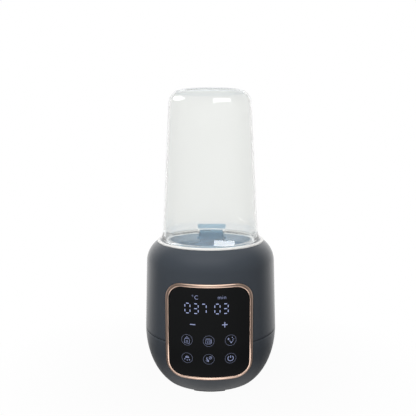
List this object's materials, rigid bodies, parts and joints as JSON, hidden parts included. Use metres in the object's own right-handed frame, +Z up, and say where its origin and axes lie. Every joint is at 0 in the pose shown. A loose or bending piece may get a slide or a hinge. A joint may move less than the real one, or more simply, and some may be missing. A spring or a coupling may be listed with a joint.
{
  "type": "bottle warmer sterilizer",
  "caption": "Round countertop bottle warmer and steam sterilizer with a curved touch panel, a heated well, a lift-out bottle basket and a tall milky cover.",
  "frame": {"origin": "on the floor under the middle of the body", "axes": "+Z up along the well's axis, control panel facing -Y, cord inlet at +Y"},
  "size_m": [0.13, 0.1313, 0.285],
  "materials": {
    "body_plastic": "soft-touch matt slate grey",
    "foot_rubber": "matt",
    "plated_trim": "satin rose-gold plating on plastic",
    "lens_black": "polished black",
    "carrier_plastic": "matt",
    "circuit_board": "solder resist",
    "display_black": "satin",
    "pad_foam": "conductive foam",
    "screw_steel": "bright",
    "ribbon_grey": "flat cable",
    "liner_plastic": "satin slate blue",
    "silicone": "silicone",
    "plate_aluminium": "coated",
    "element_steel": "heater sheath",
    "lead_red": "insulated lead",
    "thermostat_black": "matt",
    "sensor_brass": "bright",
    "frame_plastic": "matt",
    "transformer_tape": "tape",
    "relay_blue": "satin",
    "capacitor_sleeve": "sleeve",
    "fuse_ceramic": "glazed",
    "socket_white": "matt",
    "terminal_green": "matt",
    "gland_black": "matt",
    "basket_plastic": "satin slate blue",
    "cover_plastic": "milky, see-through, glossy"
  },
  "bodies": {
    "base": {"upper_housing": "body_plastic", "lower_housing": "body_plastic", "rubber_feet": "foot_rubber", "panel_bezel": "plated_trim", "touch_glass": "lens_black", "panel_carrier": "carrier_plastic", "display_board": "circuit_board", "display_module": "display_black", "touch_pads": "pad_foam", "display_ribbon": "ribbon_grey", "chamber_liner": "liner_plastic", "rim_gasket": "silicone", "heating_plate": "plate_aluminium", "plate_seal": "silicone", "heating_element": "element_steel", "element_leads": "lead_red", "thermostat": "thermostat_black", "temperature_sensor": "sensor_brass", "inner_frame": "frame_plastic", "frame_screws": "screw_steel", "base_screws": "screw_steel", "power_board": "circuit_board", "transformer": "transformer_tape", "relay": "relay_blue", "capacitor": "capacitor_sleeve", "fuse": "fuse_ceramic", "ribbon_socket": "socket_white", "terminal_block": "terminal_green", "board_screws": "screw_steel", "cord_gland": "gland_black", "gland_nut": "gland_black"},
    "basket": {"bottle_basket": "basket_plastic"},
    "cover": {"sterilizing_cover": "cover_plastic"}
  },
  "joints": [
    {"name": "basket_lift", "type": "slide", "parent": "base", "child": "basket", "axis": [0, 0, 1], "range_m": [0, 0.115]},
    {"name": "cover_lift", "type": "slide", "parent": "basket", "child": "cover", "axis": [0, 0, 1], "range_m": [0, 0.16]}
  ]
}
